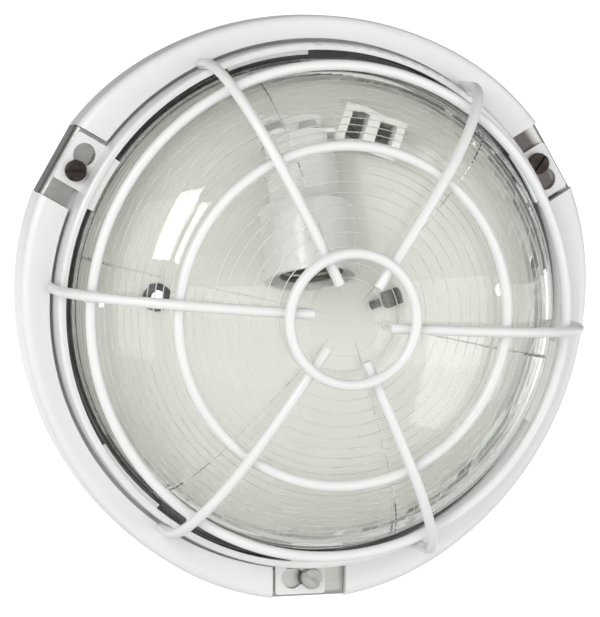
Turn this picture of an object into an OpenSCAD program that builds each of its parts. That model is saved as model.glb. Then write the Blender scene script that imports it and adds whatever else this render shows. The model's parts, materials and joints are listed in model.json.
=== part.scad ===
// Round damp-proof wall light with a ribbed glass dome behind a white wire guard.
// The light hangs on a wall: +Z is up, the front looks along -Y, and the wall is the plane Y = 0.
// Each piece is drawn lying down first, with its Z as the height off the wall, and on_wall() stands it up.

/* [Base housing] */
// Sheet thickness of the base
sheet_t = 1.5; // [1:0.1:2.5]
// Height of the rim off the wall
base_h = 16; // [14:0.5:24]
// Width of the rim at its three narrow places
rim_w = 9.2; // [7:0.1:20]
// Extra reach of the rim at the three notches
lobe = 4.1; // [2:0.1:6]
// Radius of the rim's outer edge
edge_r = 3.5; // [2:0.1:5]
// Gap between the rim and the retaining ring
ring_gap = 1.6; // [0.8:0.1:3]
// How far the gasket's ledge lies below the rim
seat_drop = 5.5; // [4.5:0.1:8]
// Width of the gasket's ledge, from the rim's inner edge
ledge_w = 12; // [10:0.1:16]

/* [Notches and cover screws] */
// Distance of a cover screw from the outside of the ring's wall
screw_off = 5.6; // [5.2:0.1:9]
// Room in the notch on the side that the ear comes from
notch_cw = 16.2; // [15.5:0.1:20]
// Room in the notch on the side that the ear turns towards
notch_ccw = 14.8; // [14.6:0.1:20]
// How far the notch's metal floor lies below the rim
notch_drop = 3.5; // [2.5:0.1:5]
// Thickness of the notch's bent metal plate
plate_t = 1.5; // [1:0.1:2]
// Radius of the plate's bend, outside
bend_r = 2.6; // [2.1:0.1:4]
// Diameter of the cover screws' shanks
screw_d = 5; // [4:0.1:6]
// Diameter of the cover screws' heads
head_d = 8.5; // [7.5:0.1:9]
// Height of the cover screws' heads
head_h = 3.3; // [2:0.1:4]
// Length of the shank below the head
shank_l = 9.5; // [7:0.5:11]
// Width of the slots in the screw heads
slot_w = 1.2; // [0.8:0.1:1.6]
// Depth of the slots in the screw heads
slot_d = 1.4; // [0.6:0.1:1.8]

/* [Retaining ring] */
// Outer radius of the ring's wall
ring_r = 106.4; // [100:0.1:120]
// Sheet thickness of the ring and its ears
ring_t = 1.4; // [1:0.1:1.8]
// Height of the ring's wall, from the underside of its ears
ring_h = 14.2; // [11:0.1:20]
// Width of the lip that turns in at the top of the wall
lip_w = 2.8; // [2:0.1:3.2]
// Distance between the two holes of a keyhole
key_pitch = 7.4; // [7:0.1:8]
// Room round a screw head in the large hole
key_room = 0.35; // [0.2:0.05:0.6]
// Distance from the screw to the ear's edge on the side it turns towards
ear_ccw = 6.4; // [5.6:0.1:6.5]
// Distance from the screw to the ear's other edge
ear_cw = 14.6; // [13.5:0.1:15]
// Corner radius of the ears
ear_corner = 1.5; // [0.5:0.1:3]
// Angle that one glass-holding tongue spans
tongue_span = 19; // [8:1:30]
// How far a tongue reaches in over the glass's flange
tongue_reach = 3.4; // [2.4:0.1:3.8]
// Length of the windows beside the ears
window_l = 9; // [5:0.5:14]
// Height of the windows beside the ears
window_h = 2.2; // [2:0.1:4]
// Length of the wider stretch of the lip at each ear
pad_l = 23; // [16:0.5:30]
// How far the lip reaches in there, from the inside of the wall
pad_w = 4.2; // [2:0.1:4.6]

/* [Gasket and glass] */
// Thickness of the rubber gasket
gasket_t = 3; // [2:0.1:3.5]
// Room between the glass's flange and the ring's wall
flange_room = 1.6; // [0.5:0.1:2.5]
// Width of the glass's flange outside the dome
flange_w = 3.6; // [3:0.1:5]
// Thickness of the glass's flange
flange_t = 5.5; // [4:0.1:6.5]
// Thickness of the glass dome
glass_t = 4; // [3:0.1:5]
// Height of the dome's tapered side wall
side_h = 14; // [10:0.5:24]
// Radius of the dome's lower shoulder
low_shoulder_r = 28; // [20:1:34]
// Radius of the dome's upper shoulder
high_shoulder_r = 48; // [40:1:56]
// Distance between the innermost ridges of the crown, along its surface
ridge_pitch = 6.3; // [5:0.1:9]
// Radius of the innermost ridge
ridge_start = 15.6; // [12:0.2:26]
// Distance between two ridges of the shoulders
shoulder_pitch = 3.6; // [3:0.1:6]
// Width of a ridge
ridge_w = 1; // [0.6:0.1:1.6]
// Height of a ridge inside the glass
ridge_h = 0.5; // [0.3:0.1:1]

/* [Wire guard] */
// Thickness of the coated wire
wire_d = 4.2; // [3.4:0.1:4.6]
// Room between the glass's crown and the spokes
crown_room = 1.8; // [1:0.1:6]
// Radius of the inner ring
inner_ring_r = 25.8; // [20:0.1:28]
// Radius of the middle ring
middle_ring_r = 67.1; // [62:0.5:74]
// How far the outer ring lies inside the retaining ring's outside
outer_ring_in = 8.3; // [7.4:0.1:11.4]
// Reach of the spokes' free tips past the inner ring
tip_reach = 10.6; // [5:0.1:14]
// Turn of the first spoke from the horizontal
spoke_turn = -5.3; // [-12:0.1:12]
// Distance from the centre at which the spokes start to curve
spoke_flat = 28.8; // [25:0.5:34]
// Bend radius of a spoke above the outer ring
spoke_high_r = 65.3; // [58:1:72]
// Bend radius of a spoke at its outer end
spoke_low_r = 29.8; // [26:1:34]
// Room between the spokes' ends and the rim
spoke_end_room = 1.5; // [0.8:0.1:4]
// Rounding of the spokes' cut ends
end_round = 0.7; // [0.3:0.1:1.2]

/* [Lamp holder] */
// Sideways place of the holder's axis
lamp_x = -5.5; // [-12:0.5:6]
// How far the holder's mouth hangs below the top of the base's inner wall
mouth_in = 83.5; // [82:0.5:90]
// Height of the mouth's centre off the wall
mouth_out = 36; // [35.5:0.5:42]
// Tilt of the holder's axis away from the wall
lamp_tilt = 20; // [16:0.5:20.5]
// Outer diameter of the holder
holder_d = 38; // [36:0.5:39]
// Length of the holder
holder_l = 58; // [54:0.5:59]
// Diameter of the holder's narrower end
neck_d = 28.6; // [26:0.2:29]
// Width of the wire slot in the holder's end
slot_room = 4.6; // [3:0.1:5]
// Inner diameter of the threaded shell
shell_d = 26.6; // [26:0.1:28]
// Thickness of the threaded shell
shell_t = 0.6; // [0.4:0.1:1]

/* [Inside fittings] */
// Width of the holder's bracket
bracket_w = 26; // [22:0.5:30]
// Thickness of the bracket's sheet
bracket_t = 2; // [1.5:0.1:3]
// Length of the bracket's foot on the back plate
foot_l = 15; // [14:0.5:18]
// Distance of the terminal block's middle from the holder's axis, sideways
terminal_off = 31; // [30:0.5:34]
// How far the terminal block's middle lies below the top of the base's inner wall
terminal_in = 26; // [25:0.5:30]
// Turn of the terminal block
terminal_turn = 20; // [10:1:24]
// Width of one way of the terminal block
way_w = 12.5; // [11:0.5:13]
// Length of the terminal block, across its row of ways
terminal_l = 17; // [14:0.5:18]
// Height of the terminal block off the back plate
terminal_h = 13; // [10:0.5:16]
// Sideways place of the earth clamp
earth_x = 37.5; // [30:0.5:44]
// Height of the earth clamp above the light's centre
earth_up = 1; // [-6:0.5:4]
// Turn of the earth clamp
earth_turn = 19; // [0:1:30]
// Width of the earth clamp's block
clip_w = 7; // [6:0.1:9]
// Reach of the earth screw's threaded end past the block
earth_reach = 6; // [3:0.1:8]
// Diameter of the earth screw
earth_d = 3.4; // [3:0.1:3.6]
// Width and thickness of the grommet's lip
grommet_lip = 1.5; // [1.2:0.1:2]
// Diameter of the small screws inside
small_d = 4; // [3:0.1:4.5]
// Distance of the cable entry from the light's centre, to the left
entry_left = 61; // [56:0.5:66]
// Height of the cable entry above the light's centre
entry_up = 3.5; // [-4:0.5:8]
// Diameter of the cable entry
entry_d = 8.5; // [8:0.5:12]
// Diameter of the cable's hole through the grommet
cable_d = 6; // [5:0.1:6.4]
// Distance between the two wall fixing holes
fixing_pitch = 172; // [160:1:176]
// Height of the fixing holes above the light's centre
fixing_up = 3; // [-10:1:12]
// Diameter of the fixing holes
fixing_d = 6; // [4.5:0.1:8]

/* [Fits] */
// Room between parts that seat on each other
seat_gap = 0.3; // [0.2:0.05:0.5]
// Radial running fit of a screw in its nut
run_fit = 0.05; // [0.02:0.01:0.1]

/* [Hidden] */
$fn = 96;
eps = 0.01;

// Three-fold layout: a notch with its screw at 30, 150 and 270 degrees
NOTCHES = [30, 150, 270];
SLOT_TURNS = [55, 0, -30];
// The spokes are welded by hand: extra turn, sideways offset and extra reach of the tip of each one
SPOKE_STRAY = [[1.6, -3.3, -1.3], [1.1, -2.8, -0.5], [1.6, -2, 1.6], [0.4, -0.7, 0.3], [0.4, -1.2, 0.8],
  [0, -1.4, -3]];

// Radii, from the ring's wall outwards and inwards
well_r = ring_r + ring_gap;
ledge_r = well_r - ledge_w;
screw_r = ring_r + screw_off;
flat_reach = well_r + rim_w;
corner_reach = flat_reach + lobe;
// A rounded Reuleaux outline: three corner arcs and three flatter arcs that share three centres
lobe_off = lobe / (2 - sqrt(3));
corner_arc = corner_reach - lobe_off;
flat_arc = corner_arc + sqrt(3) * lobe_off;
// The rim's corner stretches are a hair thinner and reach this many degrees into the flatter ones
seam = 0.02;
lap = 0.3;
top_strip = 1;

// Heights off the wall
ledge_z = base_h - seat_drop;
plate_z = base_h - notch_drop;
pocket_z = plate_z - plate_t;
ear_z = plate_z + seat_gap;
head_z = ear_z + ring_t + seat_gap;
ring_top = ear_z + ring_h;
glass_z = ledge_z + gasket_t + seat_gap;
flange_top = glass_z + flange_t;
tongue_z = flange_top + seat_gap;

// Half width of the notch's outer chord is where the rim's outline ends beside the notch
notch_half = max(notch_cw, notch_ccw);
chord_x = lobe_off + sqrt(pow(corner_arc, 2) - pow(notch_half, 2));
key_angle = 2 * asin(key_pitch / 2 / screw_r);
slot_r = screw_d / 2 + seat_gap;

// Glass: a tapered side wall and three tangent arcs
wall_in = ring_r - ring_t;
pad_turn = pad_l / wall_in * 180 / PI;
flange_r = wall_in - flange_room;
foot_r = flange_r - flange_w;
side_draft = 10;
shoulder_turn = 50;
crown_turn = 12.5;
side_top_r = foot_r - side_h * tan(side_draft);
side_top_z = flange_top + side_h;
low_c = [side_top_r - low_shoulder_r * cos(side_draft), side_top_z - low_shoulder_r * sin(side_draft)];
mid_p = low_c + low_shoulder_r * [sin(shoulder_turn), cos(shoulder_turn)];
high_c = mid_p - high_shoulder_r * [sin(shoulder_turn), cos(shoulder_turn)];
crown_p = high_c + high_shoulder_r * [sin(crown_turn), cos(crown_turn)];
crown_r = crown_p[0] / sin(crown_turn);
crown_c = [0, crown_p[1] - crown_r * cos(crown_turn)];
apex_z = crown_c[1] + crown_r;
// The crown's ridges stand closer together outwards, as level circles on a rounder ball would
crown_in = crown_r - glass_t;
ball_share = 1.11;
ball_r = ball_share * crown_in * sin(crown_turn);
ball_start = asin(ridge_start / ball_r);
ball_step = ridge_pitch / ball_r * 180 / PI;
crown_ridges = floor((asin(1 / ball_share) - ball_start) / ball_step);

// Wire guard: a flat top, then three tangent bends down to the ring's wall
wire_r = wire_d / 2;
leg_r = ring_r + wire_r;
outer_ring_r = ring_r - outer_ring_in;
top_bend = 11.8;
high_bend = 44.6;
spoke_z = apex_z + crown_room + wire_r;
spoke_crown_r = (leg_r - spoke_flat - spoke_high_r * (sin(high_bend) - sin(top_bend))
  - spoke_low_r * (1 - sin(high_bend))) / sin(top_bend);
bend1_c = [spoke_flat, spoke_z - spoke_crown_r];
bend1_p = bend1_c + spoke_crown_r * [sin(top_bend), cos(top_bend)];
bend2_c = bend1_p - spoke_high_r * [sin(top_bend), cos(top_bend)];
bend2_p = bend2_c + spoke_high_r * [sin(high_bend), cos(high_bend)];
bend3_c = bend2_p - spoke_low_r * [sin(high_bend), cos(high_bend)];
leg_bottom = base_h + spoke_end_room;
tip_r = inner_ring_r - tip_reach;
inner_ring_z = spoke_z + wire_d;
// The middle and outer rings lie against the inside of the bends
middle_ring_z = bend1_c[1] + sqrt(pow(spoke_crown_r - wire_d, 2) - pow(middle_ring_r - bend1_c[0], 2));
outer_ring_z = bend2_c[1] + sqrt(pow(spoke_high_r - wire_d, 2) - pow(outer_ring_r - bend2_c[0], 2));

// Heights above the light's centre, from the top of the base's inner wall
mouth_up = ledge_r - mouth_in;
terminal_up = ledge_r - terminal_in;
terminal_x = lamp_x + terminal_off;

// Lamp holder: its own axis runs from the mouth back to the closed end
holder_r = holder_d / 2;
neck_r = neck_d / 2;
skirt_l = 0.5 * holder_l;
holder_wall = 3;
shell_r = shell_d / 2;
shell_depth = 26;
// Middle of the holder's closed end, as height above the centre and height off the wall
holder_end = [mouth_up + holder_l * cos(lamp_tilt), mouth_out - holder_l * sin(lamp_tilt)];
foot_up = holder_end[0] - (holder_end[1] - sheet_t) * tan(lamp_tilt);

// Heights off the back plate inside the terminal block, and off the wall for the earth screw
clamp_z = 2;
clamp_h = 6.5;
wire_z = clamp_z + 3;
wire_way = 4;
earth_wall = 0.5;
earth_z = sheet_t + earth_wall + earth_d / 2;

// Stands a lying piece up against the wall
module on_wall() {
  rotate([90, 0, 0]) children();
}

// Puts a piece at one of the notches, with X outwards and Y the way the guard turns
module at_notch(i) {
  rotate([0, 0, NOTCHES[i - 1]]) children();
}

// Wedge of a plane that reaches from one angle to another, for cutting arcs
module wedge(from, to, reach) {
  mid = (from + to) / 2;
  polygon([[0, 0], reach * [cos(from), sin(from)], 1.5 * reach * [cos(mid), sin(mid)],
    reach * [cos(to), sin(to)]]);
}

// Part of a disc or, with an inner radius, of a ring
module arc_2d(outer, inner, from, to) {
  intersection() {
    difference() {
      circle(outer);
      if (inner > 0) circle(inner);
    }
    wedge(from, to, 2 * outer);
  }
}

// The rim's outline, moved inwards by an inset
module rim_outline(inset = 0) {
  polygon([for (a = NOTCHES) lobe_off * [cos(a), sin(a)]]);
  for (a = NOTCHES) {
    translate(lobe_off * [cos(a), sin(a)]) arc_2d(corner_arc - inset, 0, a - 31, a + 31);
    translate(lobe_off * [cos(a), sin(a)]) arc_2d(flat_arc - inset, 0, a + 150, a + 210);
  }
}

// Skirt of the rim, its rounded top edge and a strip of the top; X = 0 runs on the rim's outline
module skirt_profile(thin) {
  translate([thin - sheet_t, 0]) square([sheet_t - 2 * thin, base_h - edge_r + eps]);
  translate([-edge_r, base_h - edge_r]) arc_2d(edge_r - thin, edge_r - sheet_t + thin, 0, 90);
  translate([-edge_r - top_strip, base_h - sheet_t + thin]) square([top_strip + eps, sheet_t - 2 * thin]);
}

// Skirt swept round the outline: the corners end inside the flatter stretches
module rim_sweep() {
  for (a = NOTCHES) translate(lobe_off * [cos(a), sin(a)]) {
    rotate([0, 0, a - 30 - lap]) rotate_extrude(angle = 60 + 2 * lap)
      translate([corner_arc, 0]) skirt_profile(seam);
    rotate([0, 0, a + 150]) rotate_extrude(angle = 60) translate([flat_arc, 0]) skirt_profile(0);
  }
}

// Pressed pan inside the rim: well wall, gasket ledge, inner wall and back plate
module pan() {
  rotate_extrude() {
    translate([well_r, ledge_z - sheet_t]) square([sheet_t, base_h - ledge_z + sheet_t]);
    translate([ledge_r, ledge_z - sheet_t]) square([well_r + sheet_t - ledge_r, sheet_t]);
    translate([ledge_r, 0]) square([sheet_t, ledge_z]);
    square([ledge_r + sheet_t, sheet_t]);
  }
}

// Room that a notch takes out of the rim
module notch_room() {
  translate([well_r - ledge_w / 2, -notch_cw, pocket_z])
    cube([2 * rim_w + ledge_w, notch_cw + notch_ccw, base_h]);
  translate([chord_x - bend_r, -notch_cw, plate_z - bend_r - seat_gap])
    cube([2 * bend_r, notch_cw + notch_ccw, base_h]);
  translate([chord_x - plate_t, -notch_cw, -1])
    cube([rim_w + lobe, notch_cw + notch_ccw, 2 * base_h]);
}

// Strip of the rim at a notch, from the middle of the well's wall into the skirt
module notch_strip(side) {
  difference() {
    intersection() {
      translate([lobe_off, 0]) circle(corner_arc - 0.6 * sheet_t);
      translate([ledge_r, -notch_cw - side]) square([ledge_r, notch_cw + notch_ccw + 2 * side]);
    }
    circle(well_r + sheet_t / 2);
  }
}

// Sheet that closes the notch: floor, two ends and the flat outer wall
module notch_pocket() {
  translate([0, 0, pocket_z - sheet_t]) linear_extrude(sheet_t) notch_strip(sheet_t / 2);
  linear_extrude(base_h - edge_r / 2) difference() {
    notch_strip(sheet_t);
    translate([ledge_r, -notch_cw]) square([chord_x - plate_t - sheet_t - ledge_r, notch_cw + notch_ccw]);
  }
}

module housing() {
  nut_d = screw_d + 4.6;
  color("whitesmoke") on_wall() difference() {
    union() {
      rim_sweep();
      translate([0, 0, base_h - sheet_t]) linear_extrude(sheet_t) difference() {
        rim_outline(edge_r + top_strip / 2);
        circle(well_r);
      }
      pan();
      for (i = [1:3]) at_notch(i) notch_pocket();
    }
    for (i = [1:3]) at_notch(i) notch_room();
    for (i = [1:3]) at_notch(i) translate([screw_r, 0, 0]) cylinder(d = nut_d, h = base_h);
    for (s = [-1, 1])
      translate([s * fixing_pitch / 2, fixing_up, -1]) cylinder(d = fixing_d, h = sheet_t + 2);
    translate([-entry_left, entry_up, -1]) cylinder(d = entry_d, h = sheet_t + 2);
    inside_screws() translate([0, 0, -1]) cylinder(d = small_d + 2 * seat_gap, h = sheet_t + 2);
  }
}

// Places of the screws that go through the back plate
module inside_screws() {
  for (i = [1:2]) translate(bracket_screw_at(i)) children();
}

// Bent metal plate in a notch, with the nut for the cover screw welded under it
module notch_plate(i) {
  nut_l = 6;
  run_l = notch_cw + notch_ccw - 2 * seat_gap;
  inner_x = well_r + seat_gap;
  color("silver") on_wall() at_notch(i) difference() {
    union() {
      translate([0, notch_ccw - seat_gap, 0]) rotate([90, 0, 0]) linear_extrude(run_l) {
        translate([inner_x, pocket_z]) square([chord_x - bend_r - inner_x + eps, plate_t]);
        translate([chord_x - plate_t, 0.5]) square([plate_t, plate_z - bend_r - 0.5 + eps]);
        translate([chord_x - bend_r, plate_z - bend_r]) arc_2d(bend_r, bend_r - plate_t, 0, 90);
      }
      translate([screw_r, 0, pocket_z - nut_l]) cylinder(d = screw_d + 4, h = nut_l + plate_t / 2);
    }
    translate([screw_r, 0, pocket_z - nut_l - 1])
      cylinder(r = screw_d / 2 + run_fit, h = nut_l + plate_t + 2);
  }
}

module gasket() {
  color([0.07, 0.07, 0.07]) on_wall() translate([0, 0, ledge_z]) difference() {
    cylinder(r = wall_in - seat_gap, h = gasket_t);
    translate([0, 0, -1]) cylinder(r = ledge_r + sheet_t, h = gasket_t + 2);
  }
}

// Points along an arc, from one angle off the Z axis to another
function arc_points(c, r, from, to, steps) =
  [for (k = [0:steps]) let (a = from + (to - from) * k / steps) c + r * [sin(a), cos(a)]];

// One ridge on a curved stretch of the inner surface, in the order that runs inwards
function ridge_points(c, r, turn) = let (w = ridge_w / r * 180 / PI)
  [c + r * [sin(turn), cos(turn)], c + (r - ridge_h) * [sin(turn - w / 2), cos(turn - w / 2)],
    c + r * [sin(turn - w), cos(turn - w)]];

// Ridges along one stretch of a shoulder, from its outer end to its inner end
function ridge_row(c, r, from, to) =
  let (step = shoulder_pitch / r * 180 / PI, count = floor((from - to) / step))
  [for (k = [0:count - 1], p = ridge_points(c, r, from - k * step - step / 4)) p];

// Angle off the Z axis at which one of the crown's ridges stands, counted from the innermost
function crown_ridge(k) = asin(ball_r * sin(ball_start + k * ball_step) / crown_in);

// Half section of the dome and its flange
function glass_section() = let (t = glass_t, in_x = t / cos(side_draft), edge = 2) concat(
  arc_points(crown_c, crown_r, 0, crown_turn, 5),
  arc_points(high_c, high_shoulder_r, crown_turn + 4, shoulder_turn, 9),
  arc_points(low_c, low_shoulder_r, shoulder_turn + 4, 90 - side_draft, 6),
  [[foot_r, flange_top]],
  arc_points([flange_r - edge, flange_top - edge], edge, 0, 90, 4),
  [[flange_r, glass_z], [foot_r - in_x, glass_z], [foot_r - in_x, flange_top]],
  [low_c + (low_shoulder_r - t) * [cos(side_draft), sin(side_draft)]],
  ridge_row(low_c, low_shoulder_r - t, 90 - side_draft - 4, shoulder_turn),
  ridge_row(high_c, high_shoulder_r - t, shoulder_turn, crown_turn),
  [for (k = [crown_ridges:-1:0], p = ridge_points(crown_c, crown_in, crown_ridge(k))) p],
  [[0, crown_c[1] + crown_in]]);

module glass_cover() {
  color([0.82, 0.9, 0.86, 0.45]) on_wall() rotate_extrude() polygon(glass_section());
}

// Outline of an ear with its rounded corners and its keyhole
module ear_outline() {
  reach = chord_x - bend_r + 1.2;
  w = ear_cw + ear_ccw;
  difference() {
    intersection() {
      translate([wall_in + 0.4, -ear_cw]) union() {
        l = reach - wall_in - 0.4;
        square([l - ear_corner, w]);
        translate([0, ear_corner]) square([l, w - 2 * ear_corner]);
        for (y = [ear_corner, w - ear_corner]) translate([l - ear_corner, y]) circle(ear_corner);
      }
      difference() {
        circle(2 * ring_r);
        circle(wall_in + 0.2);
      }
    }
    translate([screw_r, 0]) circle(slot_r);
    rotate(-key_angle) translate([screw_r, 0]) circle(head_d / 2 + key_room);
    rotate(-key_angle / 2) translate([screw_r * cos(key_angle / 2) - slot_r, -key_pitch / 2])
      square([2 * slot_r, key_pitch]);
  }
}

// Wall and lip of the ring
module ring_section() {
  round_r = ring_t;
  translate([wall_in, ear_z]) square([ring_t, ring_h - round_r]);
  translate([ring_r - lip_w, ring_top - ring_t]) square([lip_w - round_r, ring_t]);
  translate([ring_r - round_r, ring_top - round_r]) arc_2d(round_r, 0, 0, 90);
}

module retaining_ring() {
  tongue_in = wall_in - tongue_reach;
  // The tongues sit a third of a turn apart, between the ears
  tongue_mid = 101;
  window_turn = 9.7;
  color("white") on_wall() difference() {
    union() {
      rotate_extrude() ring_section();
      for (i = [1:3]) at_notch(i) translate([0, 0, ear_z]) linear_extrude(ring_t) ear_outline();
      for (i = [1:3]) at_notch(i) rotate([0, 0, -pad_turn / 2]) rotate_extrude(angle = pad_turn)
        translate([wall_in - pad_w, ring_top - 2 * ring_t]) square([pad_w + ring_t / 2, 1.6 * ring_t]);
      for (i = [0:2])
        rotate([0, 0, tongue_mid + 120 * i - tongue_span / 2]) rotate_extrude(angle = tongue_span)
          translate([tongue_in, tongue_z]) square([tongue_reach + ring_t / 2, ring_t]);
    }
    for (i = [1:3])
      at_notch(i) rotate([0, 0, window_turn])
        translate([wall_in - 3, -window_l / 2, tongue_z]) cube([ring_t + 6, window_l, window_h]);
  }
}

module guard_ring(r, z) {
  color("white") on_wall() translate([0, 0, z]) rotate_extrude() translate([r, 0]) circle(wire_r);
}

// Stations along one bend of a spoke: outward place, height, slope and share of the wire's radius
function bend_stations(c, r, from, to, steps) =
  [for (k = [1:steps]) let (a = from + (to - from) * k / steps) [c[0] + r * sin(a), c[1] + r * cos(a), a, 1]];

// Stations over a wire end, cut flat with a rounded edge, from its cut face or towards it
function end_stations(x, z, slope, way) =
  [for (k = [0:3]) let (a = way > 0 ? 30 * k : 90 - 30 * k, back = way * end_round * (1 - cos(a)))
    [x + back * cos(slope), z - back * sin(slope), slope, 1 - end_round * (1 - sin(a)) / wire_r]];

function spoke_stations(tip) = concat(
  end_stations(tip, spoke_z, 0, 1), [[spoke_flat, spoke_z, 0, 1]],
  bend_stations(bend1_c, spoke_crown_r, 0, top_bend, 4),
  bend_stations(bend2_c, spoke_high_r, top_bend, high_bend, 6),
  bend_stations(bend3_c, spoke_low_r, high_bend, 90, 7),
  end_stations(leg_r, leg_bottom, 90, -1));

// Round wire swept through the stations, in the X-Z plane
module wire_sweep(stations, sides) {
  rings = len(stations);
  points = [for (s = stations, k = [0:sides - 1]) let (t = 360 * k / sides, r = wire_r * s[3])
    [s[0] + r * cos(t) * sin(s[2]), r * sin(t), s[1] + r * cos(t) * cos(s[2])]];
  walls = [for (i = [0:rings - 2], k = [0:sides - 1]) let (n = (k + 1) % sides)
    [i * sides + k, i * sides + n, (i + 1) * sides + n, (i + 1) * sides + k]];
  near_end = [for (k = [sides - 1:-1:0]) k];
  far_end = [for (k = [0:sides - 1]) (rings - 1) * sides + k];
  polyhedron(points, concat(walls, [near_end, far_end]));
}

module guard_spoke(i) {
  stray = SPOKE_STRAY[i - 1];
  color("white") on_wall() rotate([0, 0, spoke_turn + 60 * (i - 1) + stray[0]]) translate([0, stray[1], 0])
    wire_sweep(spoke_stations(tip_r - stray[2]), 16);
}

module cover_screw(i) {
  top_round = 0.5;
  color([0.55, 0.53, 0.5]) on_wall() at_notch(i) translate([screw_r, 0, head_z])
    rotate([0, 0, SLOT_TURNS[i - 1] - NOTCHES[i - 1]]) difference() {
      union() {
        rotate_extrude() {
          square([head_d / 2, head_h - top_round]);
          square([head_d / 2 - top_round, head_h]);
          translate([head_d / 2 - top_round, head_h - top_round]) arc_2d(top_round, 0, 0, 90);
        }
        translate([0, 0, -shank_l]) cylinder(d = screw_d, h = shank_l + eps);
      }
      translate([-head_d, -slot_w / 2, head_h - slot_d]) cube([2 * head_d, slot_w, slot_d + 1]);
    }
}

// Puts a piece on the holder's axis: its Z runs from the mouth back to the closed end
module at_holder() {
  translate([lamp_x, mouth_up, mouth_out]) rotate([-90 - lamp_tilt, 0, 0]) children();
}

// Lamp holder body: a wide skirt with a stepped mouth, and a narrower end with a slot for a wire
module holder_body() {
  bore_r = shell_r + shell_t + seat_gap;
  step_l = 4;
  slot_l = 8;
  slot_x = 0.6 * neck_r;
  color([0.93, 0.93, 0.91]) on_wall() at_holder() difference() {
    union() {
      cylinder(r = holder_r, h = skirt_l);
      translate([0, 0, skirt_l - eps]) cylinder(r = neck_r, h = holder_l - skirt_l + eps);
    }
    translate([0, 0, -1]) cylinder(r = bore_r, h = shell_depth + 2);
    cylinder(r = holder_r - 2, h = 2 * step_l, center = true);
    translate([0, 0, shell_depth]) cylinder(r = 5, h = holder_l - shell_depth - holder_wall);
    translate([slot_x, -holder_r, holder_l - slot_l]) cube([slot_room, holder_r - 0.2 * neck_r, slot_l + 1]);
  }
}

// Threaded shell: a rolled wave inside the body
module holder_shell() {
  thread_pitch = 3.6;
  turns = floor((shell_depth - 6) / thread_pitch);
  color([0.8, 0.66, 0.35]) on_wall() at_holder() translate([0, 0, 2]) rotate_extrude() difference() {
    square([shell_r + shell_t, shell_depth - 3]);
    translate([-1, -1]) square([shell_r - 0.6 + 1, shell_depth + 2]);
    for (k = [0:turns]) translate([shell_r - 1.2, 2.4 + k * thread_pitch]) circle(1.2);
  }
}

// Sprung centre contact on its stem
module holder_contact() {
  color([0.78, 0.6, 0.3]) on_wall() at_holder() {
    translate([0, 0, shell_depth - 3]) cylinder(r = 4, h = 2.2);
    translate([0, 0, shell_depth - 1]) cylinder(r = 1.8, h = holder_l - shell_depth - holder_wall + 1);
  }
}

function bracket_screw_at(i) = [lamp_x + (i == 1 ? -1 : 1) * bracket_w * 0.28, foot_up + foot_l * 0.62, 0];

// Bent bracket: a foot on the back plate and a leaned plate behind the holder's closed end
module holder_bracket() {
  along = [sin(lamp_tilt), cos(lamp_tilt)];
  through = bracket_t * [cos(lamp_tilt), -sin(lamp_tilt)];
  plate_l = (holder_end[1] - sheet_t) / cos(lamp_tilt) + 0.6 * neck_r;
  heel = [foot_up, sheet_t] + through;
  crease_l = bracket_t * (1 + sin(lamp_tilt)) / cos(lamp_tilt);
  color([0.92, 0.92, 0.9]) on_wall() difference() {
    translate([lamp_x - bracket_w / 2, 0, 0]) rotate([90, 0, 90]) linear_extrude(bracket_w)
      polygon([[foot_up, sheet_t], [foot_up + foot_l, sheet_t], [foot_up + foot_l, sheet_t + bracket_t],
        heel + crease_l * along, heel + plate_l * along, [foot_up, sheet_t] + plate_l * along]);
    for (i = [1:2]) translate(bracket_screw_at(i)) cylinder(d = small_d + 2 * seat_gap, h = 3 * bracket_t);
  }
}

// Small cheese-head screw that stands on a seat and goes down through the back plate
module small_screw(seat_z) {
  head_r = small_d;
  difference() {
    union() {
      translate([0, 0, seat_z]) cylinder(r = head_r, h = 2.4);
      translate([0, 0, sheet_t - 1.2]) cylinder(d = small_d, h = seat_z - sheet_t + 1.2 + eps);
    }
    translate([-head_r - 1, -0.5, seat_z + 1.3]) cube([2 * head_r + 2, 1, 2]);
  }
}

module bracket_screw(i) {
  color("silver") on_wall() translate(bracket_screw_at(i)) small_screw(sheet_t + bracket_t);
}

// Puts a piece on the middle of the terminal block, or of one of its two ways
module at_terminal(way = 0) {
  translate([terminal_x, terminal_up, sheet_t]) rotate([0, 0, -terminal_turn])
    translate([way * way_w / 2, 0, 0]) children();
}

// Two-way terminal block with wire holes and open wells over its clamps
module terminal_block() {
  wall = 2.5;
  color([0.95, 0.95, 0.93]) on_wall() at_terminal() difference() {
    translate([-way_w - 1, -terminal_l / 2, 0]) cube([2 * way_w + 2, terminal_l, terminal_h]);
    for (s = [-1, 1]) translate([s * way_w / 2, 0, 0]) {
      translate([wall - way_w / 2, wall - terminal_l / 2, clamp_z])
        cube([way_w - 2 * wall, terminal_l - 2 * wall, terminal_h]);
      translate([0, 0, wire_z]) rotate([90, 0, 0]) cylinder(d = wire_way, h = terminal_l + 2, center = true);
    }
  }
}

// Brass clamp on the floor of a well, with its wire hole and the hole of its screw
module terminal_clamp(k) {
  clamp_w = 0.4 * way_w;
  clamp_l = 0.5 * terminal_l;
  color([0.8, 0.65, 0.3]) on_wall() at_terminal(2 * k - 3) difference() {
    translate([-clamp_w / 2, -clamp_l / 2, clamp_z]) cube([clamp_w, clamp_l, clamp_h]);
    translate([0, 0, wire_z]) rotate([90, 0, 0]) cylinder(d = wire_way - 0.6, h = terminal_l, center = true);
    translate([0, 0, wire_z]) cylinder(d = 3, h = clamp_h);
  }
}

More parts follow.
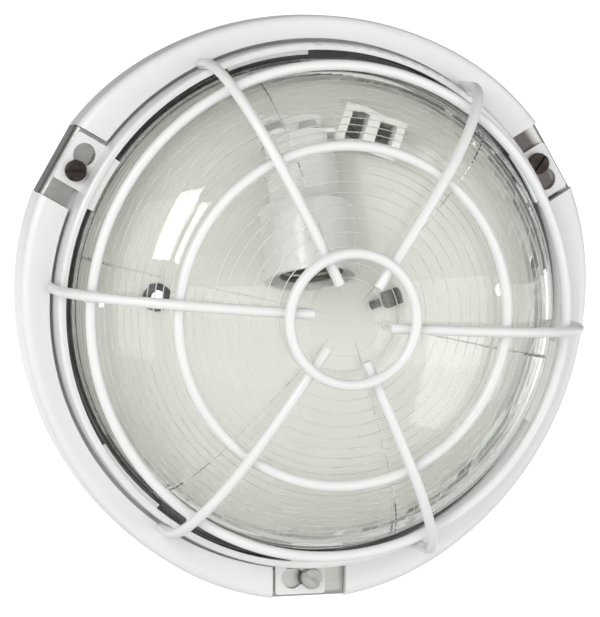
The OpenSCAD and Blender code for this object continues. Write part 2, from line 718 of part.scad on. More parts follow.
module terminal_screw(k) {
  color("silver") on_wall() at_terminal(2 * k - 3) translate([0, 0, wire_z + 0.5]) difference() {
    cylinder(d = 2.8, h = clamp_h - 0.9);
    translate([-3, -0.4, clamp_h - 1.8]) cube([6, 0.8, 2]);
  }
}

// Puts a piece on the earth screw's axis, with its Z towards the threaded end
module at_earth() {
  translate([earth_x, earth_up, earth_z]) rotate([0, 0, earth_turn]) rotate([0, -90, 0]) children();
}

// Dark block that clamps the earth wire, with the screw lying in it
module earth_clip() {
  clip_l = 0.9 * clip_w;
  color([0.45, 0.44, 0.42]) on_wall() difference() {
    translate([earth_x, earth_up, sheet_t]) rotate([0, 0, earth_turn])
      translate([-clip_w / 2, -clip_l / 2, 0]) cube([clip_w, clip_l, earth_d + 2 * earth_wall]);
    at_earth() cylinder(r = earth_d / 2 + run_fit, h = 2 * clip_w, center = true);
  }
}

// Slotted screw without a head; rings stand for the thread of its free end
module earth_screw() {
  pitch = 1.5;
  groove = 0.4;
  free_l = clip_w / 2 + earth_reach;
  color([0.4, 0.38, 0.36]) on_wall() at_earth() difference() {
    translate([0, 0, -clip_w / 2 - 0.5]) cylinder(d = earth_d, h = free_l + clip_w / 2 + 0.5);
    for (z = [clip_w / 2 + 1:pitch:free_l - 1]) translate([0, 0, z]) difference() {
      cylinder(d = earth_d + 1, h = pitch / 2);
      translate([0, 0, -1]) cylinder(d = earth_d - 2 * groove, h = pitch + 2);
    }
    translate([-earth_d, -0.4, -clip_w / 2 - 1]) cube([2 * earth_d, 0.8, 1.5]);
  }
}

// Rubber grommet that grips the edge of the cable entry
module cable_grommet() {
  color([0.12, 0.12, 0.12]) on_wall() translate([-entry_left, entry_up, 0]) rotate_extrude() difference() {
    union() {
      translate([0, sheet_t]) square([entry_d / 2 + grommet_lip, grommet_lip]);
      translate([0, seat_gap / 2]) square([entry_d / 2, sheet_t]);
      translate([0, sheet_t]) square([cable_d / 2 + grommet_lip, 2 * grommet_lip]);
    }
    translate([-1, -1]) square([cable_d / 2 + 1, 2 * sheet_t + 3 * grommet_lip]);
  }
}

housing();
for (i = [1:3]) notch_plate(i);
gasket();
glass_cover();
retaining_ring();
guard_ring(inner_ring_r, inner_ring_z);  // guard_ring_inner
guard_ring(middle_ring_r, middle_ring_z);  // guard_ring_middle
guard_ring(outer_ring_r, outer_ring_z);  // guard_ring_outer
for (i = [1:6]) guard_spoke(i);
for (i = [1:3]) cover_screw(i);
holder_body();
holder_shell();
holder_contact();
holder_bracket();
for (i = [1:2]) bracket_screw(i);
terminal_block();
for (i = [1:2]) terminal_clamp(i);
for (i = [1:2]) terminal_screw(i);
earth_clip();
earth_screw();
cable_grommet();
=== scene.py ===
import json
import math
import random
import bmesh
import bpy
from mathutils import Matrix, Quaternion, Vector


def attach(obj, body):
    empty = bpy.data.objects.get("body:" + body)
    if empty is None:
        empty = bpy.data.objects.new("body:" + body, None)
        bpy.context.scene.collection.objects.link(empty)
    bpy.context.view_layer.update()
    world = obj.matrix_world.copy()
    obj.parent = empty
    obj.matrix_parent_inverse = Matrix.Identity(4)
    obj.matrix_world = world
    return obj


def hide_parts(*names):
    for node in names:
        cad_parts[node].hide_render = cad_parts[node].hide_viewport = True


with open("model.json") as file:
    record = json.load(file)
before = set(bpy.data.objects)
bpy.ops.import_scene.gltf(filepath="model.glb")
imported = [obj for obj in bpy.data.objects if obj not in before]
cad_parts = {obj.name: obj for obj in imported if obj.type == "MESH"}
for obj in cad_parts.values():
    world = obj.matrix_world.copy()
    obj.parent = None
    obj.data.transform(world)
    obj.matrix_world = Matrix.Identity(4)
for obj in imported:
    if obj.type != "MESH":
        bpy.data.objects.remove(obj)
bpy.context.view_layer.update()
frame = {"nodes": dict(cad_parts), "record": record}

NODES = frame["nodes"]
scene = bpy.context.scene
MM = 0.001
TINY = 1e-6

# Camera: the photograph's viewing angle, from the left and a little above
TARGET = Vector((-0.00025, 0.0, -0.0029))
DISTANCE, YAW, ELEVATION = 1.5, math.radians(15.47), math.radians(5.51)
FOCAL_PX, IMAGE_LONG_SIDE_PX = 3662.0, 617
SENSOR_MM = 36.0
CLIP_NEAR, CLIP_FAR = 0.05, 1000.0


def add_camera():
    data = bpy.data.cameras.new("camera")
    data.sensor_width = SENSOR_MM
    data.lens = FOCAL_PX * SENSOR_MM / IMAGE_LONG_SIDE_PX
    data.clip_start, data.clip_end = CLIP_NEAR, CLIP_FAR
    camera = bpy.data.objects.new("camera", data)
    scene.collection.objects.link(camera)
    out = Vector((-math.sin(YAW) * math.cos(ELEVATION), -math.cos(YAW) * math.cos(ELEVATION),
                  math.sin(ELEVATION)))
    camera.location = TARGET + out * DISTANCE
    camera.rotation_euler = (-out).to_track_quat("-Z", "Y").to_euler()
    scene.camera = camera


# Node graph helpers. Object coordinates are in metres from the point where the light's axis
# meets the wall; the front is towards -Y
FROM_AXIS, OVER_FLOOR = (1.0, 0.0, 1.0), (1.0, 1.0, 0.0)
NOISE_ROUGHNESS = 0.55
# Sockets of a colour mix
MIX_FACTOR, MIX_FIRST, MIX_SECOND, MIX_RESULT = 0, 6, 7, 2


def new_material(name):
    material = bpy.data.materials.new(name)
    material.use_nodes = True
    tree = material.node_tree
    tree.nodes.clear()
    output = tree.nodes.new("ShaderNodeOutputMaterial")
    shader = tree.nodes.new("ShaderNodeBsdfPrincipled")
    tree.links.new(shader.outputs[0], output.inputs[0])
    return material, tree, shader


def noise(tree, scale, detail=3.0, stretch=None):
    coords = tree.nodes.new("ShaderNodeTexCoord")
    source = coords.outputs["Object"]
    if stretch is not None:
        mapping = tree.nodes.new("ShaderNodeMapping")
        mapping.inputs["Scale"].default_value = stretch
        tree.links.new(source, mapping.inputs["Vector"])
        source = mapping.outputs[0]
    texture = tree.nodes.new("ShaderNodeTexNoise")
    texture.inputs["Scale"].default_value = scale
    texture.inputs["Detail"].default_value = detail
    texture.inputs["Roughness"].default_value = NOISE_ROUGHNESS
    tree.links.new(source, texture.inputs["Vector"])
    return texture.outputs["Fac"]


def blend(tree, source, light, dark, start=0.3, stop=0.7):
    """Colour from dark to light while the source goes from start to stop."""
    node = tree.nodes.new("ShaderNodeValToRGB")
    ends = (start, dark), (stop, light)
    for element, (place, colour) in zip(node.color_ramp.elements, ends):
        element.position = place
        element.color = (*colour, 1.0)
    tree.links.new(source, node.inputs[0])
    return node.outputs[0]


def spread(tree, source, low, high, start=0.3, stop=0.7):
    """Value from low to high while the source goes from start to stop."""
    node = tree.nodes.new("ShaderNodeMapRange")
    node.inputs["From Min"].default_value = start
    node.inputs["From Max"].default_value = stop
    node.inputs["To Min"].default_value = low
    node.inputs["To Max"].default_value = high
    tree.links.new(source, node.inputs["Value"])
    return node.outputs[0]


def mix_colour(tree, factor, first, second):
    node = tree.nodes.new("ShaderNodeMix")
    node.data_type = "RGBA"
    tree.links.new(factor, node.inputs[MIX_FACTOR])
    tree.links.new(first, node.inputs[MIX_FIRST])
    tree.links.new(second, node.inputs[MIX_SECOND])
    return node.outputs[MIX_RESULT]


def combine(tree, operation, first, second):
    node = tree.nodes.new("ShaderNodeMath")
    node.operation = operation
    tree.links.new(first, node.inputs[0])
    tree.links.new(second, node.inputs[1])
    return node.outputs[0]


def distance(tree, axes):
    """Distance from the origin in metres, over the axes that are 1."""
    coords = tree.nodes.new("ShaderNodeTexCoord")
    flat = tree.nodes.new("ShaderNodeVectorMath")
    flat.operation = "MULTIPLY"
    flat.inputs[1].default_value = axes
    length = tree.nodes.new("ShaderNodeVectorMath")
    length.operation = "LENGTH"
    tree.links.new(coords.outputs["Object"], flat.inputs[0])
    tree.links.new(flat.outputs[0], length.inputs[0])
    return length.outputs["Value"]


def place_along(tree, axis, space="Object"):
    coords = tree.nodes.new("ShaderNodeTexCoord")
    parts = tree.nodes.new("ShaderNodeSeparateXYZ")
    tree.links.new(coords.outputs[space], parts.inputs[0])
    return parts.outputs[axis]


def bump(tree, shader, source, strength, depth):
    node = tree.nodes.new("ShaderNodeBump")
    node.inputs["Strength"].default_value = strength
    node.inputs["Distance"].default_value = depth
    tree.links.new(source, node.inputs["Height"])
    tree.links.new(node.outputs[0], shader.inputs["Normal"])


def finish_surface(tree, shader, colour, grain, roughness):
    tree.links.new(colour, shader.inputs["Base Color"])
    tree.links.new(spread(tree, grain, *roughness), shader.inputs["Roughness"])


# Materials. A pair of tones is light, then dark; a roughness is its least and greatest value
COAT_ROUGHNESS, COAT_PEEL = (0.28, 0.4), 0.12
CLEAR_COAT, CLEAR_COAT_ROUGHNESS = 0.35, 0.18
# The last value is the share of its tone that a painted highlight keeps in its darker streaks
STREAK_START, STREAK_STOP, PAINTED_HIGHLIGHT_SHADE = 0.32, 0.68, 0.9
GLASS_CLEAR = (0.992, 0.996, 0.985), (0.985, 0.992, 0.975)
GLASS_GREEN = (0.93, 0.955, 0.925), (0.9, 0.93, 0.895)
# Distances from the axis between which the glass turns greener
GREEN_START, GREEN_STOP = 0.078, 0.094
GLASS_IOR = 1.5


def coated_metal(name, light, dark, inner=None, wall=0.0, soft=0.0, under=None):
    """White coat, with the tones inner, painted shade or painted light, within the wall radius and,
    if given, under a height.
    """
    material, tree, shader = new_material(name)
    colour = blend(tree, noise(tree, scale=22.0, detail=4.0), light, dark, stop=0.62)
    if inner:
        within = spread(tree, distance(tree, FROM_AXIS), 1.0, 0.0, wall - soft, wall + soft)
        if under:
            low = spread(tree, place_along(tree, "Y"), 0.0, 1.0, -under - soft, -under + soft)
            within = combine(tree, "MULTIPLY", within, low)
        tones = blend(tree, noise(tree, scale=16.0, detail=5.0), *inner)
        colour = mix_colour(tree, within, colour, tones)
    finish_surface(tree, shader, colour, noise(tree, scale=60.0, detail=5.0), COAT_ROUGHNESS)
    shader.inputs["Coat Weight"].default_value = CLEAR_COAT
    shader.inputs["Coat Roughness"].default_value = CLEAR_COAT_ROUGHNESS
    bump(tree, shader, noise(tree, scale=420.0, detail=2.0), strength=COAT_PEEL, depth=0.0004)
    return material


def bare_metal(name, light, dark, roughness=(0.3, 0.5), stretch=(1.0, 1.0, 14.0), scale=90.0,
               painted_highlight=None):
    """Worn metal, with an optional painted highlight: a brighter tone beyond a distance from the
    axis, given as start, stop and tone.
    """
    material, tree, shader = new_material(name)
    streaks = noise(tree, scale, detail=5.0, stretch=stretch)
    colour = blend(tree, streaks, light, dark, STREAK_START, STREAK_STOP)
    if painted_highlight:
        start, stop, tone = painted_highlight
        shade = tuple(PAINTED_HIGHLIGHT_SHADE * part for part in tone)
        bright = blend(tree, streaks, tone, shade, STREAK_START, STREAK_STOP)
        beyond = spread(tree, distance(tree, FROM_AXIS), 0.0, 1.0, start, stop)
        colour = mix_colour(tree, beyond, colour, bright)
    finish_surface(tree, shader, colour, noise(tree, scale=45.0, detail=6.0), roughness)
    shader.inputs["Metallic"].default_value = 1.0
    bump(tree, shader, streaks, strength=0.12, depth=0.0003)
    return material


def black_rubber(name, light, dark):
    material, tree, shader = new_material(name)
    colour = blend(tree, noise(tree, scale=70.0, detail=5.0), light, dark)
    finish_surface(tree, shader, colour, noise(tree, scale=160.0), (0.5, 0.7))
    bump(tree, shader, noise(tree, scale=500.0), strength=0.2, depth=0.0003)
    return material


def clear_glass(name, roughness=(0.0, 0.01), clarity=1.0):
    material, tree, shader = new_material(name)
    clear = blend(tree, noise(tree, scale=14.0), *GLASS_CLEAR)
    green = blend(tree, noise(tree, scale=25.0), *GLASS_GREEN)
    side = spread(tree, distance(tree, FROM_AXIS), 0.0, 1.0, GREEN_START, GREEN_STOP)
    colour = mix_colour(tree, side, clear, green)
    finish_surface(tree, shader, colour, noise(tree, scale=30.0), roughness)
    shader.inputs["Transmission Weight"].default_value = clarity
    shader.inputs["IOR"].default_value = GLASS_IOR
    return material


def plain_plastic(name, light, dark, roughness=(0.35, 0.5)):
    material, tree, shader = new_material(name)
    colour = blend(tree, noise(tree, scale=80.0, detail=4.0), light, dark)
    finish_surface(tree, shader, colour, noise(tree, scale=120.0), roughness)
    bump(tree, shader, noise(tree, scale=600.0, detail=2.0), strength=0.08, depth=0.0002)
    return material


EVEN_GRAIN = {"stretch": (1.0, 1.0, 1.0), "scale": 260.0}
COARSE_GRAIN = {"scale": 60.0}
WHITE = (0.755, 0.755, 0.745), (0.73, 0.73, 0.72)
# Tones of the housing's inside: painted shade, the white coat darkened and warmed where shade falls
# inside the glass cover
PAINTED_SHADE_INSIDE = (0.72, 0.715, 0.667), (0.68, 0.675, 0.622)
# Tones under the retaining ring's lip: painted light, far lighter than the white coat, to brighten
# the shaded hollow there
PAINTED_LIGHT_UNDER_RING = (0.93, 0.93, 0.915), (0.92, 0.92, 0.905)
MATERIALS = {
    "white_coat": coated_metal("white_coat", *WHITE),
    "black_rubber": black_rubber("black_rubber", (0.034, 0.034, 0.031), (0.012, 0.012, 0.011)),
    "ribbed_glass": clear_glass("ribbed_glass"),
    # The porcelain is darker than its white: painted shade for the light the glass cover holds back
    "holder_ceramic": plain_plastic("holder_ceramic", (0.66, 0.66, 0.634), (0.62, 0.62, 0.595),
                                    (0.12, 0.2)),
    "brass": bare_metal("brass", (0.78, 0.6, 0.3), (0.55, 0.4, 0.2), (0.25, 0.4)),
    "terminal_plastic": plain_plastic("terminal_plastic", (0.85, 0.85, 0.81), (0.8, 0.8, 0.76)),
    "inner_coat": coated_metal("inner_coat", (0.85, 0.86, 0.84), (0.8, 0.81, 0.795)),
    "small_screw": bare_metal("small_screw", (0.6, 0.6, 0.57), (0.42, 0.42, 0.4), (0.3, 0.45)),
    "dark_steel": bare_metal("dark_steel", (0.14, 0.13, 0.12), (0.07, 0.065, 0.06), (0.4, 0.55)),
}
RIDGE_GLASS = clear_glass("ridge_glass", (0.3, 0.4), 0.88)
# Brass darkened to deep brown: painted shade of the terminal block's wells
BRASS_PAINTED_SHADE = bare_metal("brass_painted_shade", (0.075, 0.06, 0.045), (0.03, 0.025, 0.02), (0.35, 0.5))
# One kind of cover screw in two tones: dark brown is painted shade and dark reflection, the lighter
# grey is painted light
SCREW_PAINTED_SHADE = bare_metal("screw_painted_shade", (0.07, 0.057, 0.05), (0.035, 0.029, 0.025), **EVEN_GRAIN)
# Nodes that look otherwise than their slot's material, several of them with painted shade, painted
# light or a painted highlight
OWN_MATERIALS = {
    # Cover screws: painted shade on the first two, painted light on the third
    "cover_screw_1": SCREW_PAINTED_SHADE,
    "cover_screw_2": SCREW_PAINTED_SHADE,
    "cover_screw_3": bare_metal("screw_painted_light", (0.44, 0.435, 0.418), (0.33, 0.326, 0.313),
                                **EVEN_GRAIN),
    # The three notch plates are one galvanised sheet in three tones: painted shade and dark
    # reflection on the first, less on the second, painted light on the third
    "notch_plate_1": bare_metal("sheet_painted_shade", (0.14, 0.13, 0.122), (0.11, 0.1, 0.094), (0.35, 0.5),
                                # Painted highlight along the first plate's bend
                                painted_highlight=(0.1145, 0.1175, (0.6, 0.59, 0.57)), **COARSE_GRAIN),
    "notch_plate_2": bare_metal("sheet_painted_half_shade", (0.37, 0.37, 0.352), (0.32, 0.32, 0.305),
                                **COARSE_GRAIN),
    "notch_plate_3": bare_metal("sheet_painted_light", (0.51, 0.51, 0.475), (0.45, 0.45, 0.42),
                                **COARSE_GRAIN),
    # Terminal clamps and screws take the brass's painted shade
    "terminal_clamp_1": BRASS_PAINTED_SHADE,
    "terminal_clamp_2": BRASS_PAINTED_SHADE,
    "terminal_screw_1": BRASS_PAINTED_SHADE,
    "terminal_screw_2": BRASS_PAINTED_SHADE,
    # The housing's inside within the wall radius gets painted shade
    "housing": coated_metal("housing_coat_painted_shade", *WHITE, inner=PAINTED_SHADE_INSIDE, wall=0.0965, soft=0.0025),
    # The ring's inside below its lip gets painted light
    "retaining_ring": coated_metal("ring_coat_painted_light", *WHITE, inner=PAINTED_LIGHT_UNDER_RING, wall=0.1058,
                                   soft=0.0002, under=0.0258),
    "holder_shell": bare_metal("nickel_shell", (0.42, 0.41, 0.37), (0.25, 0.24, 0.21), (0.25, 0.4),
                               **COARSE_GRAIN),
}


def dress_nodes():
    for row in frame["record"]["subparts"]:
        material = OWN_MATERIALS.get(row["node"]) or MATERIALS[row["material_slot"]]
        for material_slot in NODES[row["node"]].material_slots:
            material_slot.material = material


# Profiles are in millimetres: distance from the light's axis, and height off the wall.
# Angles on them are in degrees off the axis
def on_arc(centre, radius, degrees):
    turn = math.radians(degrees)
    return centre[0] + radius * math.sin(turn), centre[1] + radius * math.cos(turn)


def arc_angles(start, stop, step):
    count = max(1, round(abs(stop - start) / step))
    return [start + (stop - start) * index / count for index in range(count + 1)]


def arc(centre, radius, start, stop, step):
    return [on_arc(centre, radius, degrees) for degrees in arc_angles(start, stop, step)]


def to_world(out, height, turn, across=0.0):
    x = out * math.cos(turn) - across * math.sin(turn)
    z = out * math.sin(turn) + across * math.cos(turn)
    return Vector((x, -height, z)) * MM


def new_piece(name, bm, body, slot, *nodes, sharp=40.0):
    """Piece that rides on a body; edges above the angle sharp stay sharp."""
    bmesh.ops.recalc_face_normals(bm, faces=bm.faces)
    for edge in bm.edges:
        bent = len(edge.link_faces) == 2 and edge.calc_face_angle() > math.radians(sharp)
        edge.smooth = not bent
    for face in bm.faces:
        face.smooth = True
    mesh = bpy.data.meshes.new(name)
    bm.to_mesh(mesh)
    bm.free()
    mesh.materials.append(MATERIALS[slot])
    piece = bpy.data.objects.new(name, mesh)
    scene.collection.objects.link(piece)
    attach(piece, body)
    if nodes:
        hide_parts(*nodes)
    return piece


def skin(bm, rows):
    """Faces between neighbouring closed rows of vertices; a row of one vertex is a pole."""
    strips = []
    for near, far in zip(rows, rows[1:]):
        strips.append([])
        for index in range(max(len(near), len(far))):
            after = index + 1
            corners = [near[index % len(near)], far[index % len(far)],
                       far[after % len(far)], near[after % len(near)]]
            strips[-1].append(bm.faces.new(list(dict.fromkeys(corners))))
    return strips


# Glass dome: a tapered side and three tangent arcs
GLASS_T, FOOT_R, FLANGE_R = 4.0, 99.8, 103.4
GLASS_Z, FLANGE_TOP, SIDE_H = 13.8, 19.3, 14.0
LOW_R, HIGH_R = 28.0, 48.0
SIDE_DRAFT, SHOULDER_TURN, CROWN_TURN = 10.0, 50.0, 12.5
SIDE_TURN = 90.0 - SIDE_DRAFT
FLANGE_ROUND, FLANGE_CHAMFER, FOOT_CHAMFER = 2.0, 0.6, 0.5
# Steps along the outer face: degrees on its arcs, shares of its straight side
CROWN_STEP, HIGH_STEP, LOW_STEP, ROUND_STEP = 0.8, 2.5, 3.0, 15.0
SIDE_SHARES = 0.33, 0.66, 1.0
# Ridges inside: on the crown their places fan out like angles, on the shoulders they keep one pitch
RIDGE_FAN, RIDGE_FIRST, RIDGE_STEP, CROWN_RIDGES = 71.0, 12.7, 5.12, 11
SHOULDER_PITCH, RIDGE_W, RIDGE_H = 3.0, 0.4, 0.14
SIDE_RIDGES, FIRST_SIDE_RIDGE = 4, 0.6
# Section of a ridge: place in ridge widths and height, with a slow and a steep flank
RIDGE_SECTION = ((-1.0, 0.0), (-0.35, RIDGE_H), (0.0, RIDGE_H), (0.12, 0.0))
# Plain face between ridges: margin next to a ridge, and spacing of its rows
PLAIN_MARGIN, PLAIN_STEP = 0.3, 1.7
# Six mould seams: turn of the first, their depth, and half widths of groove and floor in degrees
SEAM_TURN, SEAMS, SEAM_DEPTH = 47.0, 6, 0.3
SEAM_HALF, SEAM_FLOOR, COLUMN_STEP = 0.3, 0.07, 1.5
# The seams start this many rows off the pole
SEAM_FIRST_ROW = 3
DOME_SHARP = 25.0


def glass_arcs():
    """Centre and radius of the outer face's crown, upper and lower shoulder."""
    side_top = FOOT_R - SIDE_H * math.tan(math.radians(SIDE_DRAFT)), FLANGE_TOP + SIDE_H
    low = on_arc(side_top, -LOW_R, SIDE_TURN)
    high = on_arc(on_arc(low, LOW_R, SHOULDER_TURN), -HIGH_R, SHOULDER_TURN)
    crown_end = on_arc(high, HIGH_R, CROWN_TURN)
    crown_r = crown_end[0] / math.sin(math.radians(CROWN_TURN))
    crown = 0.0, crown_end[1] - crown_r * math.cos(math.radians(CROWN_TURN))
    return (crown, crown_r), (high, HIGH_R), (low, LOW_R)


def inner_face():
    """Inner face from the axis outwards, with its ridges."""
    turns = (0.0, CROWN_TURN, SHOULDER_TURN, SIDE_TURN)
    stretches, reach = [], 0.0
    for (centre, radius), start, stop in zip(glass_arcs(), turns, turns[1:]):
        length = math.radians(stop - start) * (radius - GLASS_T)
        stretches.append((reach, length, centre, radius - GLASS_T, start, stop))
        reach += length

    def point(along, rise):
        passed = [row for row in stretches if row[0] <= along + TINY]
        start_at, length, centre, radius, start, stop = passed[-1]
        return on_arc(centre, radius - rise, start + (stop - start) * (along - start_at) / length)

    places = [RIDGE_FAN * math.sin(math.radians(RIDGE_FIRST + RIDGE_STEP * index))
              for index in range(CROWN_RIDGES)]
    while places[-1] + 2 * SHOULDER_PITCH < reach:
        places.append(places[-1] + SHOULDER_PITCH)
    rises = [(0.0, 0.0), (reach, 0.0)]
    for start, stop in zip([0.0] + places, places + [reach]):
        count = max(1, int((stop - start - RIDGE_W) / PLAIN_STEP))
        plain = stop - start - RIDGE_W - 2 * PLAIN_MARGIN
        rises += [(start + PLAIN_MARGIN + plain * (index + 0.5) / count, 0.0)
                  for index in range(count)]
    for place in places:
        rises += [(place + share * RIDGE_W, rise) for share, rise in RIDGE_SECTION]
    return [(*point(min(along, reach), rise), rise > 0.0) for along, rise in sorted(rises)]


def side_ridges(foot, top):
    """Ridges on the straight side inside, from the flange up."""
    out, up = top[0] - foot[0], top[1] - foot[1]
    length = math.hypot(out, up)
    points = []
    for index in range(SIDE_RIDGES):
        place = length * (index + FIRST_SIDE_RIDGE) / SIDE_RIDGES
        for share, rise in RIDGE_SECTION[::-1]:
            part = (place - share * RIDGE_W) / length
            points.append((foot[0] + out * part - rise * up / length,
                           foot[1] + up * part + rise * out / length, rise > 0.0))
    return points


def outer_face():
    """Outer face from the axis to the foot of the side, and from there the flange's edge."""
    (crown, crown_r), (high, high_r), (low, low_r) = glass_arcs()
    face = arc(crown, crown_r, 0.0, CROWN_TURN, CROWN_STEP)
    face += arc(high, high_r, CROWN_TURN, SHOULDER_TURN, HIGH_STEP)[1:]
    face += arc(low, low_r, SHOULDER_TURN, SIDE_TURN, LOW_STEP)[1:]
    out, height = face[-1]
    face += [(out + (FOOT_R - out) * share, height + (FLANGE_TOP - height) * share)
             for share in SIDE_SHARES]
    edge = arc((FLANGE_R - FLANGE_ROUND, FLANGE_TOP - FLANGE_ROUND), FLANGE_ROUND, 0.0, 90.0,
               ROUND_STEP)
    edge += [(FLANGE_R, GLASS_Z + FLANGE_CHAMFER), (FLANGE_R - FLANGE_CHAMFER, GLASS_Z)]
    return face, edge


def glass_columns():
    """Angles round the axis in degrees, with the sink of the face there: deep at a mould seam."""
    columns = []
    for sector in range(SEAMS):
        seam = SEAM_TURN + sector * 360.0 / SEAMS
        columns += [(seam - SEAM_HALF, 0.0), (seam - SEAM_FLOOR, SEAM_DEPTH),
                    (seam + SEAM_FLOOR, SEAM_DEPTH), (seam + SEAM_HALF, 0.0)]
        columns += [(seam + index * COLUMN_STEP, 0.0)
                    for index in range(1, round(360.0 / SEAMS / COLUMN_STEP))]
    return columns


def build_glass():
    face, edge = outer_face()
    foot_in = FOOT_R - GLASS_T / math.cos(math.radians(SIDE_DRAFT))
    foot = [(foot_in + FOOT_CHAMFER, GLASS_Z), (foot_in, GLASS_Z + FOOT_CHAMFER),
            (foot_in, FLANGE_TOP)]
    inner = inner_face()[::-1]
    profile = [(out, height, False) for out, height in face + edge + foot]
    profile += side_ridges(foot[-1], inner[0]) + inner
    bm = bmesh.new()
    rows = []
    for index, (out, height, _) in enumerate(profile):
        if out < TINY:
            rows.append([bm.verts.new(to_world(0.0, height, 0.0))])
            continue
        seamed = SEAM_FIRST_ROW <= index < len(face) - 1
        row = []
        for turn, depth in glass_columns():
            sink = depth * seamed
            row.append(bm.verts.new(to_world(out - sink * out / FOOT_R, height - sink,
                                             math.radians(turn))))
        rows.append(row)
    for strip, near, far in zip(skin(bm, rows), profile, profile[1:]):
        for flank in strip:
            flank.material_index = int(near[2] or far[2])
    dome = new_piece("ribbed_dome", bm, "guard", "ribbed_glass", "glass_cover", sharp=DOME_SHARP)
    dome.data.materials.append(RIDGE_GLASS)
    dome.visible_shadow = False


# Wire guard: spokes with a flat top and three tangent bends, on three rings
WIRE_R, END_ROUND, WIRE_SIDES = 2.1, 0.7, 24
END_TURNS = 0.0, math.pi / 6, math.pi / 3, math.pi / 2
SPOKE_TURN, SPOKE_PITCH = -5.3, 60.0
# Extra turn, sideways offset and extra reach of the tip of each spoke, as welded by hand
SPOKE_STRAY = ((1.6, -3.3, -1.3), (1.1, -2.8, -0.5), (1.6, -2.0, 1.6),
               (0.4, -0.7, 0.3), (0.4, -1.2, 0.8), (0.0, -1.4, -3.0))
TIP, SPOKE_FLAT, SPOKE_Z, LEG_BOTTOM = 15.2, 28.8, 73.44, 17.5
# Radius, start and stop of each bend
BENDS = ((187.4, 0.0, 11.8), (65.3, 11.8, 44.6), (29.8, 44.6, 90.0))
BEND_STEP = 2.0
# Radius and height of the rings' wires
INNER_RING, MIDDLE_RING, OUTER_RING = (25.8, 77.64), (67.1, 65.2), (98.1, 47.6)
# Weld beads: radius, half height, uneven swell as a share of the radius, and greatest stray
BEAD_R, BEAD_LIFT, BEAD_SWELL, BEAD_STRAY = 2.3, 1.15, 0.12, 0.25
# The swell's waves along and across a bead, and how much a stray shifts them
WAVES_ALONG, WAVES_ACROSS, WAVE_SHIFT = 3, 4, 6
BEAD_SUBDIVISIONS, BEAD_SEED = 3, 7


def bend_centres():
    centres = [(SPOKE_FLAT, SPOKE_Z - BENDS[0][0])]
    for (radius, _, stop), (after, _, _) in zip(BENDS, BENDS[1:]):
        centres.append(on_arc(on_arc(centres[-1], radius, stop), -after, stop))
    return centres


def spoke_turn(index):
    return math.radians(SPOKE_TURN + SPOKE_PITCH * index + SPOKE_STRAY[index][0])


def spoke_route(tip):
    """Stations of a spoke: out, height, slope off the flat top and the wire's radius there."""
    cut = [(END_ROUND * (1 - math.cos(turn)), WIRE_R - END_ROUND * (1 - math.sin(turn)))
           for turn in END_TURNS]
    route = [(tip + depth, SPOKE_Z, 0.0, size) for depth, size in cut]
    route.append((SPOKE_FLAT, SPOKE_Z, 0.0, WIRE_R))
    for centre, (radius, start, stop) in zip(bend_centres(), BENDS):
        route += [(*on_arc(centre, radius, slope), slope, WIRE_R)
                  for slope in arc_angles(start, stop, BEND_STEP)[1:]]
    leg = route[-1][0]
    return route + [(leg, LEG_BOTTOM + depth, 90.0, size) for depth, size in cut[::-1]]


def build_spoke(number):
    _, offset, reach = SPOKE_STRAY[number - 1]
    turn = spoke_turn(number - 1)
    bm = bmesh.new()
    rows = []
    for out, height, slope, size in spoke_route(TIP - reach):
        tilt = math.radians(slope)
        row = []
        for side in range(WIRE_SIDES):
            angle = 2 * math.pi * side / WIRE_SIDES
            lift = size * math.cos(angle)
            place = to_world(out + lift * math.sin(tilt), height + lift * math.cos(tilt), turn,
                             offset + size * math.sin(angle))
            row.append(bm.verts.new(place))
        rows.append(row)
    skin(bm, rows)
    bm.faces.new(rows[0])
    bm.faces.new(rows[-1])
    new_piece(f"spoke_{number}", bm, "guard", "white_coat", f"guard_spoke_{number}")


def weld_contacts():
    """Where a spoke touches each ring: out, height and slope."""
    contacts = [(INNER_RING[0], INNER_RING[1] - WIRE_R, 0.0)]
    for (ring_r, ring_z), centre, (radius, _, _) in zip((MIDDLE_RING, OUTER_RING),
                                                        bend_centres(), BENDS):
        slope = math.degrees(math.atan2(ring_r - centre[0], ring_z - centre[1]))
        contacts.append((*on_arc(centre, radius - WIRE_R, slope), slope))
    return contacts


def build_welds():
    """Coated weld beads where the spokes cross the rings."""
    rng = random.Random(BEAD_SEED)
    bm = bmesh.new()
    for spoke, (_, offset, _) in enumerate(SPOKE_STRAY):
        turn = spoke_turn(spoke)
        for out, height, slope in weld_contacts():
            bead = bmesh.ops.create_icosphere(bm, subdivisions=BEAD_SUBDIVISIONS, radius=1.0)
            tilt = math.radians(slope)
            lump = [rng.uniform(-BEAD_STRAY, BEAD_STRAY) for _ in range(4)]
            for vert in bead["verts"]:
                along, across, lift = vert.co
                wave = math.sin(WAVES_ALONG * along + WAVE_SHIFT * lump[0])
                wave_across = math.cos(WAVES_ACROSS * across + WAVE_SHIFT * lump[1])
                swell = 1.0 + BEAD_SWELL * wave * wave_across
                along = BEAD_R * along * swell + lump[2]
                across = BEAD_R * across * swell + lump[3]
                lift = BEAD_LIFT * lift
                vert.co = to_world(out + along * math.cos(tilt) + lift * math.sin(tilt),
                                   height - along * math.sin(tilt) + lift * math.cos(tilt), turn,
                                   offset + across)
    new_piece("guard_welds", bm, "guard", "white_coat")


# Studio: pale floor, pale surroundings, large soft lamps
PURE_WHITE = (1.0, 1.0, 1.0, 1.0)
FLOOR_HALF, FLOOR_HEIGHT = 250.0, -0.9
FLOOR_COLOUR, FLOOR_ROUGHNESS = (0.88, 0.88, 0.88, 1.0), 0.8
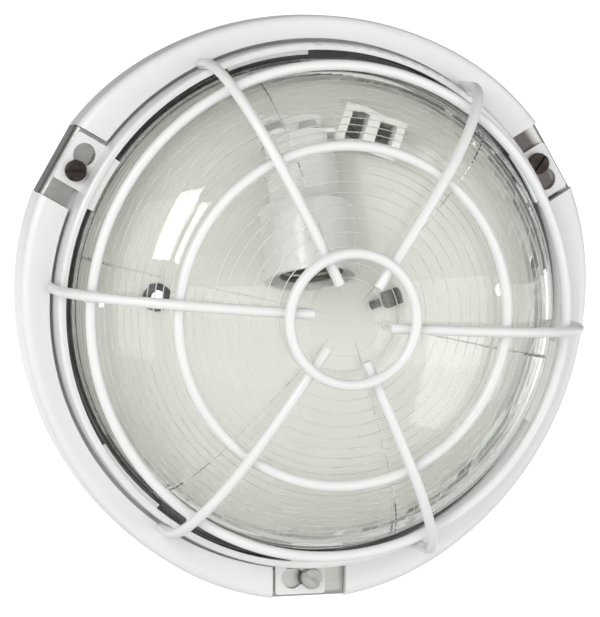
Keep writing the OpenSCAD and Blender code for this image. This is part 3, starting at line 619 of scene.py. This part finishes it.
# The floor's own light grows from near to far between two distances from the light
FLOOR_NEAR, FLOOR_FAR, FLOOR_START, FLOOR_STOP = 0.2, 0.95, 1.3, 3.5
# The surroundings dim from front to back, between two values of the direction's Y
WORLD_FRONT, WORLD_BACK, WORLD_START, WORLD_STOP = 0.6, 0.15, -0.6, 0.2
# The white band at the horizon behind ends between two values of Z and starts between two of Y
BAND_LOW, BAND_HIGH, BAND_START, BAND_STOP = 0.12, 0.2, 0.8, 0.9
# Azimuth to the right of the front, elevation, and lean clockwise seen from the front in degrees;
# distance, width and height in metres; radiance
LAMPS = {
    "key": (-37.9, 22.0, 11.0, 1.28, 0.345, 0.49, 7.2),
    "strip": (-22.0, 15.0, 22.0, 2.0, 0.2, 0.555, 6.0),
    "fill": (46.0, -19.0, 0.0, 2.2, 1.2, 0.8, 1.7),
    "left_panel": (-64.0, 8.0, 0.0, 2.5, 2.2, 2.4, 0.85),
    "right_panel": (42.0, 10.0, 0.0, 2.5, 2.0, 2.2, 0.75),
}


def add_floor():
    corners = [(x * FLOOR_HALF, y * FLOOR_HALF, FLOOR_HEIGHT)
               for x, y in ((-1, -1), (1, -1), (1, 1), (-1, 1))]
    mesh = bpy.data.meshes.new("floor")
    mesh.from_pydata(corners, [], [(0, 1, 2, 3)])
    floor = bpy.data.objects.new("floor", mesh)
    scene.collection.objects.link(floor)
    material, tree, shader = new_material("floor")
    shader.inputs["Base Color"].default_value = FLOOR_COLOUR
    shader.inputs["Roughness"].default_value = FLOOR_ROUGHNESS
    shader.inputs["Emission Color"].default_value = PURE_WHITE
    glow = spread(tree, distance(tree, OVER_FLOOR), FLOOR_NEAR, FLOOR_FAR, FLOOR_START, FLOOR_STOP)
    tree.links.new(glow, shader.inputs["Emission Strength"])
    mesh.materials.append(material)


def add_lamp(name, azimuth, elevation, lean, distance_off, width, height, radiance):
    """Soft box that faces the light."""
    across, up = math.radians(azimuth), math.radians(elevation)
    direction = Vector((math.sin(across) * math.cos(up), -math.cos(across) * math.cos(up),
                        math.sin(up)))
    data = bpy.data.lights.new(name, "AREA")
    data.shape, data.size, data.size_y = "RECTANGLE", width, height
    data.energy = radiance * math.pi * width * height
    lamp = bpy.data.objects.new(name, data)
    scene.collection.objects.link(lamp)
    lamp.location = distance_off * direction
    facing = (-direction).to_track_quat("-Z", "Y")
    turned = facing @ Quaternion((0.0, 0.0, 1.0), -math.radians(lean))
    lamp.rotation_euler = turned.to_euler()


def add_world():
    """Bright towards the front, dimmer behind the light, with a white band at the horizon."""
    world = bpy.data.worlds.new("studio")
    scene.world = world
    world.use_nodes = True
    tree = world.node_tree
    background = tree.nodes["Background"]
    background.inputs["Color"].default_value = PURE_WHITE
    depth = place_along(tree, "Y", "Generated")
    height = place_along(tree, "Z", "Generated")
    wide = spread(tree, depth, WORLD_FRONT, WORLD_BACK, WORLD_START, WORLD_STOP)
    horizon = spread(tree, height, 1.0, 0.0, BAND_LOW, BAND_HIGH)
    behind = spread(tree, depth, 0.0, 1.0, BAND_START, BAND_STOP)
    band = combine(tree, "MULTIPLY", horizon, behind)
    tree.links.new(combine(tree, "MAXIMUM", wide, band), background.inputs["Strength"])


add_camera()
dress_nodes()
build_glass()
for spoke_number in range(1, len(SPOKE_STRAY) + 1):
    build_spoke(spoke_number)
build_welds()
add_floor()
add_world()
for lamp_name, lamp_values in LAMPS.items():
    add_lamp(lamp_name, *lamp_values)
scene.view_settings.view_transform = "Standard"
